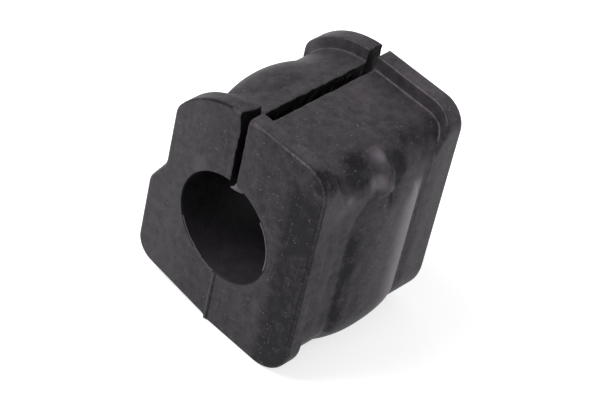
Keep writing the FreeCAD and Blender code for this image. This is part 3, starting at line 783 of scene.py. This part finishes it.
def dust_group():
    """Small pale specks: one in some cells of a jittered grid."""
    tree, source, sink = new_group("dust_specks", [
        ("Vector", "NodeSocketVector", None),
        ("Cells per metre", "NodeSocketFloat", 900.0),
        ("Speck size", "NodeSocketFloat", 0.18),
        ("Share", "NodeSocketFloat", 0.2),
    ], [("Mask", "NodeSocketFloat")])
    place = source.outputs["Vector"]
    jitter = 0.0004
    bend = put(tree, "ShaderNodeTexNoise", {"Vector": place, "Scale": 2600.0, "Detail": 1.0})
    shift = put(tree, "ShaderNodeVectorMath", {0: bend.outputs["Color"], 1: (jitter, jitter, jitter)},
                operation="MULTIPLY")
    moved = put(tree, "ShaderNodeVectorMath", {0: place, 1: shift.outputs[0]}, operation="ADD")
    cells = put(tree, "ShaderNodeTexVoronoi", {
        "Vector": moved.outputs[0], "Scale": source.outputs["Cells per metre"]})
    pick = put(tree, "ShaderNodeSeparateColor", {"Color": cells.outputs["Color"]})
    chosen = math_node(tree, "LESS_THAN", pick.outputs["Red"], source.outputs["Share"])
    grow = math_node(tree, "MULTIPLY", pick.outputs["Green"], source.outputs["Speck size"])
    edge = math_node(tree, "SUBTRACT", grow, cells.outputs["Distance"])
    body = math_node(tree, "MULTIPLY", edge, 18.0, clamp=True)
    tree.links.new(math_node(tree, "MULTIPLY", chosen, body), sink.inputs["Mask"])
    return tree


def grain_group():
    """Height of the fine moulded grain and of broad, shallow sink marks."""
    tree, source, sink = new_group("moulded_grain", [
        ("Vector", "NodeSocketVector", None),
        ("Grain per metre", "NodeSocketFloat", 2400.0),
        ("Pits per metre", "NodeSocketFloat", 500.0),
    ], [("Height", "NodeSocketFloat")])
    place = source.outputs["Vector"]
    fine = cloud(tree, place, source.outputs["Grain per metre"], 4.0, 0.65)
    broad = cloud(tree, place, source.outputs["Pits per metre"], 3.0, 0.6)
    tree.links.new(math_node(tree, "MULTIPLY_ADD", broad, 0.8, fine), sink.inputs["Height"])
    return tree


def rub_group():
    """Long faint rub marks along one direction."""
    tree, source, sink = new_group("rub_marks", [
        ("Vector", "NodeSocketVector", None),
        ("Lines per metre", "NodeSocketFloat", 900.0),
        ("Threshold", "NodeSocketFloat", 0.62),
    ], [("Mask", "NodeSocketFloat")])
    stretch = put(tree, "ShaderNodeVectorMath", {0: source.outputs["Vector"], 1: (1.0, 1.0, 0.06)},
                  operation="MULTIPLY")
    streak = cloud(tree, stretch.outputs[0], source.outputs["Lines per metre"], 2.0, 0.5)
    over = math_node(tree, "SUBTRACT", streak, source.outputs["Threshold"])
    tree.links.new(math_node(tree, "MULTIPLY", over, 7.0, clamp=True), sink.inputs["Mask"])
    return tree


GROUPS = {dust_group: "dust_specks", grain_group: "moulded_grain", rub_group: "rub_marks"}


def use_group(tree, make, values):
    """Output of a shared group, which is made when it is first used."""
    group = bpy.data.node_groups.get(GROUPS[make]) or make()
    return put(tree, "ShaderNodeGroup", values, node_tree=group).outputs[0]


def rubber_dust(tree, place):
    """Mask of the dust specks, thicker on the square side and in loose heaps."""
    spot = put(tree, "ShaderNodeSeparateXYZ", {"Vector": place})
    drift = put(tree, "ShaderNodeTexNoise", {"Vector": place, "Scale": 210.0, "Detail": 2.0}).outputs[0]
    heap = math_node(tree, "MULTIPLY_ADD", spot.outputs["X"], 3.5, drift)
    heap = math_node(tree, "MULTIPLY_ADD", heap, 5.0, -2.55, clamp=True)
    share = math_node(tree, "MULTIPLY_ADD", heap, 0.16, 0.02)
    fine = use_group(tree, dust_group, {
        "Vector": place, "Cells per metre": 2600.0, "Speck size": 0.42, "Share": share})
    coarse = use_group(tree, dust_group, {
        "Vector": place, "Cells per metre": 1100.0, "Speck size": 0.24,
        "Share": math_node(tree, "MULTIPLY", share, 0.35)})
    return math_node(tree, "MAXIMUM", math_node(tree, "MULTIPLY", fine, 0.22),
                     math_node(tree, "MULTIPLY", coarse, 0.6))


def rubber_material(name):
    """Dull black rubber with a pale bloom, painted shade and highlights, fine grain, rub marks and dust."""
    look = looks()
    material = bpy.data.materials.new(name)
    tree = empty_tree(material)
    place = put(tree, "ShaderNodeTexCoord").outputs["Object"]
    # the tone attribute holds bloom with painted shade and highlights; the edge attribute holds painted edge
    # highlights and shade
    bloom_and_painted_light, inside, worn = (put(tree, "ShaderNodeAttribute", attribute_name=label).outputs["Fac"]
                           for label in ("bloom_and_painted_light", "inside", "painted_edge_light"))
    open_skin = math_node(tree, "SUBTRACT", 1.0, inside)

    # rub marks show where the tone is low, and nowhere in the bore or the slit
    broad = cloud(tree, place, 120.0, 5.0, 0.6)
    speckle = cloud(tree, place, 1500.0, 3.0, 0.7)
    blotch = cloud(tree, place, 480.0, 3.0, 0.55)
    rub = use_group(tree, rub_group, {"Vector": place, "Lines per metre": 1100.0, "Threshold": 0.6})
    streak = math_node(tree, "MULTIPLY", rub, math_node(tree, "SUBTRACT", 1.1, bloom_and_painted_light))
    streak = math_node(tree, "MULTIPLY", streak, open_skin)
    pale = math_node(tree, "MULTIPLY_ADD", streak, 0.35, spread(tree, broad, -0.12, 0.12))
    pale = math_node(tree, "ADD", pale, spread(tree, speckle, -0.14, 0.14))
    pale = math_node(tree, "ADD", pale, spread(tree, blotch, -0.17, 0.17))
    # painted highlights and painted shade along the edge lines, broken up by the speckle
    broken = math_node(tree, "MULTIPLY_ADD", speckle, 1.6, -0.35, clamp=True)
    edge = math_node(tree, "MULTIPLY", worn, broken)
    pale = math_node(tree, "MULTIPLY_ADD", edge, 0.9, pale)
    pale = math_node(tree, "ADD", pale, bloom_and_painted_light)
    pale = put(tree, "ShaderNodeClamp", {"Value": pale, "Min": 0.0, "Max": 2.8}).outputs[0]
    base = put(tree, "ShaderNodeMix", {
        "Factor": pale, 6: (*look.rubber, 1.0), 7: (*look.bloom_and_painted_light, 1.0)}, data_type="RGBA", clamp_factor=False)

    # painted shade: the bore and the slit are darker than the open skin
    shade = math_node(tree, "MULTIPLY_ADD", open_skin, 0.55, 0.45)
    base = put(tree, "ShaderNodeMix", {
        "Factor": shade, 6: (0.002, 0.002, 0.002, 1.0), 7: base.outputs[2]}, data_type="RGBA")
    specks = rubber_dust(tree, place)
    dusty = put(tree, "ShaderNodeMix", {
        "Factor": math_node(tree, "MULTIPLY", specks, open_skin),
        6: base.outputs[2], 7: (*look.dust, 1.0)}, data_type="RGBA")

    rough = spread(tree, broad, 0.46, 0.62, top=0.75)
    grain = use_group(tree, grain_group, {
        "Vector": place, "Grain per metre": 2200.0, "Pits per metre": 420.0})
    height = math_node(tree, "MULTIPLY_ADD", specks, 0.6, grain)
    bump = put(tree, "ShaderNodeBump", {"Height": height, "Strength": 0.35, "Distance": 0.00012})
    sheen = math_node(tree, "MULTIPLY_ADD", pale, 0.15, 0.03)
    gleam = math_node(tree, "MULTIPLY_ADD", open_skin, sheen, 0.04)
    shader = put(tree, "ShaderNodeBsdfPrincipled", {
        "Base Color": dusty.outputs[2], "Roughness": rough, "Normal": bump.outputs[0],
        "IOR": 1.5, "Specular IOR Level": gleam})
    put(tree, "ShaderNodeOutputMaterial", {"Surface": shader.outputs[0]})
    return material


def rubber():
    """The bushing's one material, made when it is first used."""
    return bpy.data.materials.get("bushing_rubber") or rubber_material("bushing_rubber")


# Flash

def flash_tree():
    """Thin raised line of flash along a path: an irregular strip of small round section."""
    amounts = (("Radius", 0.0002), ("Unevenness", 0.4), ("Wander", 0.00008),
               ("Spacing", 0.00025), ("Seed", 1.0))
    tree, source, sink = new_group("flash_line", [
        ("Geometry", "NodeSocketGeometry", None),
        *((label, "NodeSocketFloat", default) for label, default in amounts),
        ("Material", "NodeSocketMaterial", None),
    ], [("Geometry", "NodeSocketGeometry")], "GeometryNodeTree")
    curve = put(tree, "GeometryNodeMeshToCurve", {0: source.outputs["Geometry"]})
    dense = put(tree, "GeometryNodeResampleCurve", {"Curve": curve.outputs[0]})
    dense.mode = "LENGTH"
    tree.links.new(source.outputs["Spacing"], dense.inputs["Length"])
    where = put(tree, "GeometryNodeInputPosition").outputs[0]
    rough = put(tree, "ShaderNodeTexNoise", {
        "Vector": where, "W": source.outputs["Seed"], "Scale": 900.0, "Detail": 2.0}, noise_dimensions="4D")
    swing = math_node(tree, "SUBTRACT", rough.outputs[0], 0.5)
    uneven = math_node(tree, "MULTIPLY", swing, source.outputs["Unevenness"])
    scale = math_node(tree, "MULTIPLY_ADD", uneven, 2.0, 1.0)
    thick = put(tree, "GeometryNodeSetCurveRadius", {"Curve": dense.outputs[0], "Radius": scale})
    centred = put(tree, "ShaderNodeVectorMath", {0: rough.outputs["Color"], 1: (0.5, 0.5, 0.5)},
                  operation="SUBTRACT")
    away = put(tree, "ShaderNodeVectorMath", {0: centred.outputs[0], "Scale": source.outputs["Wander"]},
               operation="SCALE")
    moved = put(tree, "GeometryNodeSetPosition", {"Geometry": thick.outputs[0], "Offset": away.outputs[0]})
    ring = put(tree, "GeometryNodeCurvePrimitiveCircle", {
        "Resolution": 7, "Radius": source.outputs["Radius"]})
    strip = put(tree, "GeometryNodeCurveToMesh", {
        "Curve": moved.outputs[0], "Profile Curve": ring.outputs[0], "Fill Caps": True})
    real = put(tree, "GeometryNodeRealizeInstances", {0: strip.outputs[0]})
    painted = put(tree, "GeometryNodeSetMaterial", {
        "Geometry": real.outputs[0], "Material": source.outputs["Material"]})
    tree.links.new(painted.outputs[0], sink.inputs[0])
    return tree


def flash_piece(name, path, radius, uneven, wander, seed, pale):
    """One line of flash along a path of points in millimetres, as a plain mesh of one tone."""
    mesh = bpy.data.meshes.new(name + "_path")
    edges = [(k, k + 1) for k in range(len(path) - 1)]
    mesh.from_pydata([tuple(MM * c for c in p) for p in path], edges, [])
    guide = add_object(name + "_path", mesh)
    modifier = guide.modifiers.new("flash", "NODES")
    modifier.node_group = bpy.data.node_groups.get("flash_line") or flash_tree()
    sockets = modifier.node_group.interface.items_tree
    names = {item.name: item.identifier for item in sockets if item.in_out == "INPUT"}
    modifier[names["Radius"]] = radius * MM
    modifier[names["Unevenness"]] = uneven
    modifier[names["Wander"]] = wander * MM
    modifier[names["Spacing"]] = 0.3 * MM
    modifier[names["Seed"]] = float(seed)
    modifier[names["Material"]] = rubber()
    graph = bpy.context.evaluated_depsgraph_get()
    plain = bpy.data.meshes.new_from_object(guide.evaluated_get(graph))
    bpy.data.objects.remove(guide)
    obj = add_object(name, plain)
    keep_values(plain, "bloom_and_painted_light", np.full(len(plain.vertices), pale))
    hold_inside(obj)
    finish_piece(obj)


def down(x, y, top, bottom):
    """Straight path down an end face."""
    return [(x, y, z) for z in np.linspace(top, bottom, 24)]


def round_bore(first, last, radius, y):
    """Path round the bore between two angles in degrees."""
    turn = np.radians(np.linspace(first, last, 30))
    return [(radius * math.cos(a), y, radius * math.sin(a)) for a in turn]


def torn_flap(size):
    """Thin torn flap of flash at the slit's right lip, hanging into the bore."""
    rim = [(-0.5, 10.35), (0.35, 11.1), (0.75, 12.1), (1.5, 12.0),
           (3.0, 11.25), (2.2, 10.7), (1.0, 10.45), (0.2, 10.2)]
    front = -size.half_length + 0.02
    thick, ruffle, pale = 0.35, 0.1, 1.6
    points = [(x * MM, (front + ruffle * (k % 2)) * MM, z * MM) for k, (x, z) in enumerate(rim)]
    points += [(x * MM, (front + thick) * MM, z * MM) for x, z in rim]
    n = len(rim)
    faces = [tuple(range(n)), tuple(reversed(range(n, 2 * n)))]
    faces += [(k, k + n, (k + 1) % n + n, (k + 1) % n) for k in range(n)]
    mesh = bpy.data.meshes.new("torn_flap")
    mesh.from_pydata(points, [], faces)
    mesh.update()
    obj = add_object("torn_flap", mesh)
    keep_values(mesh, "bloom_and_painted_light", np.full(len(mesh.vertices), pale))
    finish_piece(obj)


# Stage

def seen_directly(tree):
    """One where the camera, a reflection or a transmitted ray meets the surface."""
    path = put(tree, "ShaderNodeLightPath")
    seen = math_node(tree, "MAXIMUM", path.outputs["Is Camera Ray"], path.outputs["Is Glossy Ray"])
    return math_node(tree, "MAXIMUM", seen, path.outputs["Is Transmission Ray"])


def build_floor():
    """Pale floor under the base that keeps the part's soft shadow."""
    reach = 3.0
    level = -sizes().base_drop * MM
    corners = [(x * reach, y * reach, level) for x, y in ((-1, -1), (1, -1), (1, 1), (-1, 1))]
    mesh = bpy.data.meshes.new("floor")
    mesh.from_pydata(corners, [], [(0, 1, 2, 3)])
    obj = add_object("floor", mesh)
    material = bpy.data.materials.new("pale_floor")
    tree = empty_tree(material)
    paint = put(tree, "ShaderNodeBsdfDiffuse", {"Color": (*looks().floor, 1.0)})
    glow = put(tree, "ShaderNodeEmission", {"Color": (1.0, 1.0, 1.0, 1.0), "Strength": 0.62})
    both = put(tree, "ShaderNodeAddShader", {0: paint.outputs[0], 1: glow.outputs[0]})
    mix = put(tree, "ShaderNodeMixShader", {0: seen_directly(tree), 1: paint.outputs[0], 2: both.outputs[0]})
    put(tree, "ShaderNodeOutputMaterial", {"Surface": mix.outputs[0]})
    obj.data.materials.append(material)


def build_world():
    """White where it is seen, and a soft even light on the part."""
    world = bpy.data.worlds.new("studio")
    bpy.context.scene.world = world
    tree = empty_tree(world)
    soft = put(tree, "ShaderNodeBackground", {"Color": (0.96, 0.97, 1.0, 1.0), "Strength": 0.34})
    white = put(tree, "ShaderNodeBackground", {"Color": (1.0, 1.0, 1.0, 1.0), "Strength": 1.0})
    mix = put(tree, "ShaderNodeMixShader", {0: seen_directly(tree), 1: soft.outputs[0], 2: white.outputs[0]})
    put(tree, "ShaderNodeOutputWorld", {"Surface": mix.outputs[0]})


def build_lights():
    """Two square soft boxes: the key from the upper left, a weaker one from behind on the right."""
    for name, place, size, power in (
            ("key_softbox", (-0.42, -0.40, 0.70), 0.55, 6.6),
            ("rear_softbox", (0.55, 0.85, 0.40), 0.45, 3.2)):
        lamp = bpy.data.lights.new(name, "AREA")
        lamp.shape = "SQUARE"
        lamp.size = size
        lamp.energy = power
        obj = add_object(name, lamp)
        obj.location = place
        obj.rotation_euler = Vector(place).to_track_quat("Z", "Y").to_euler()


def build_camera():
    """The photograph's viewpoint: about 36 degrees to the right of the bore and 41 degrees above."""
    # angles in radians
    azimuth, elevation, roll = 0.6360, 0.7242, 0.2336
    focal_pixels, picture_width = 2500.0, 600.0
    # bore's front centre as the camera sees it, in bore radii: right, down and ahead
    offset = Vector((-1.2590, 0.4640, 41.065))
    unit = 11.5 * MM
    back = Vector((math.sin(azimuth) * math.cos(elevation), -math.cos(azimuth) * math.cos(elevation),
                   math.sin(elevation)))
    right = Vector((math.cos(azimuth), math.sin(azimuth), 0.0))
    low = (-back).cross(right)
    c = math.cos(roll)
    s = math.sin(roll)
    x_row = c * right - s * low
    y_row = s * right + c * low
    turn = Matrix((x_row, y_row, -back))
    place = -(turn.transposed() @ offset) * unit
    place.y -= sizes().half_length * MM
    camera = bpy.data.cameras.new("camera")
    camera.sensor_width = 36.0
    camera.lens = camera.sensor_width * focal_pixels / picture_width
    camera.clip_start = 0.01
    camera.clip_end = 20.0
    obj = add_object("camera", camera)
    pose = Matrix((x_row, -y_row, back)).transposed().to_4x4()
    pose.translation = place
    obj.matrix_world = pose
    bpy.context.scene.camera = obj


# Operators

class BUSHING_OT_body(bpy.types.Operator):
    """Moulded rubber body with flanges, waist, bead, ridge, bore and slit"""
    bl_idname = "bushing.body"
    bl_label = "Build rubber body"

    def execute(self, context):
        size = sizes()
        bore, outer = build_blocks(size)
        rows, around, _ = outer.shape
        # layers from the bore wall at 0 to the outer skin at 1
        layers = np.concatenate([[0.0], 0.02 + 0.96 * np.linspace(0, 1, 25), [1.0]])
        last = len(layers) - 1
        mesh, index = box_mesh("rubber_body", bore, outer, layers)
        soften_lips(size, mesh, index, rows, around, last)
        inside = {k for (j, i, t), k in index.items()
                  if 0 < j < rows - 1 and (t == 0 or (i in (0, around - 1) and t < last))}
        # rows on the rims, the flanges' inner edges and the rear wall's foot that carry painted edge
        # highlights, counted from each end
        front_lines = (2, 3, 4, 14, 15)
        rear_lines = (2, 3, 14, 15, 21, 22)
        edges = {k for (j, i, t), k in index.items()
                 if t == last and (j in front_lines or rows - 1 - j in rear_lines)}
        paint_tone(mesh, inside, edges)
        obj = add_object("rubber_body", mesh)
        hold_inside(obj)
        finish_piece(obj, replaces=True)
        return {"FINISHED"}


class BUSHING_OT_flash(bpy.types.Operator):
    """Moulding lines, flash round the bore and the torn flap under the slit"""
    bl_idname = "bushing.flash"
    bl_label = "Build flash"

    def execute(self, context):
        size = sizes()
        r = size.bore_radius
        front = -size.half_length
        rear = size.half_length
        top = -r - 0.4
        bottom = -size.base_drop + 0.25
        flash_piece("moulding_line_front", down(-0.15, front + 0.16, top, bottom),
                    radius=0.36, uneven=0.5, wander=0.14, seed=1, pale=0.95)
        # a dark line of painted shade beside the front moulding line
        flash_piece("moulding_shade_line_front", down(0.42, front + 0.02, top, bottom),
                    radius=0.12, uneven=0.6, wander=0.12, seed=6, pale=0.0)
        flash_piece("moulding_line_rear", down(0.0, rear + 0.02, top, bottom),
                    radius=0.18, uneven=0.5, wander=0.10, seed=3, pale=0.8)
        flash_piece("bore_flash_left", round_bore(205, 250, r * 0.99, front + 0.10),
                    radius=0.11, uneven=1.2, wander=0.20, seed=2, pale=1.7)
        flash_piece("bore_flash_low", round_bore(238, 268, r * 1.015, front + 0.05),
                    radius=0.16, uneven=1.4, wander=0.55, seed=4, pale=1.2)
        flash_piece("bore_flash_right", round_bore(-10, 44, r, front + 0.04),
                    radius=0.15, uneven=1.0, wander=0.14, seed=5, pale=2.1)
        torn_flap(size)
        return {"FINISHED"}


class BUSHING_OT_stage(bpy.types.Operator):
    """Pale floor, soft lights and the camera"""
    bl_idname = "bushing.stage"
    bl_label = "Build stage"

    def execute(self, context):
        build_floor()
        build_world()
        build_lights()
        build_camera()
        context.scene.view_settings.view_transform = "Standard"
        return {"FINISHED"}


class BUSHING_PT_panel(bpy.types.Panel):
    """Pieces and sizes of the bushing"""
    bl_idname = "BUSHING_PT_panel"
    bl_label = "Bushing"
    bl_space_type = "VIEW_3D"
    bl_region_type = "UI"
    bl_category = "Bushing"

    def draw(self, context):
        column = self.layout.column()
        for operator in (BUSHING_OT_body, BUSHING_OT_flash, BUSHING_OT_stage):
            column.operator(operator.bl_idname)
        for group in (context.scene.bushing_sizes, context.scene.bushing_looks):
            for name in group.__annotations__:
                column.prop(group, name)


CLASSES = (BushingSizes, BushingLooks, BUSHING_OT_body, BUSHING_OT_flash, BUSHING_OT_stage, BUSHING_PT_panel)


def register():
    for cls in CLASSES:
        bpy.utils.register_class(cls)
    bpy.types.Scene.bushing_sizes = bpy.props.PointerProperty(type=BushingSizes)
    bpy.types.Scene.bushing_looks = bpy.props.PointerProperty(type=BushingLooks)


def unregister():
    del bpy.types.Scene.bushing_looks
    del bpy.types.Scene.bushing_sizes
    for cls in reversed(CLASSES):
        bpy.utils.unregister_class(cls)


def main():
    register()
    for call in (bpy.ops.bushing.body, bpy.ops.bushing.flash, bpy.ops.bushing.stage):
        if call() != {"FINISHED"}:
            raise RuntimeError("a step of the bushing did not finish")


if __name__ == "__main__":
    main()
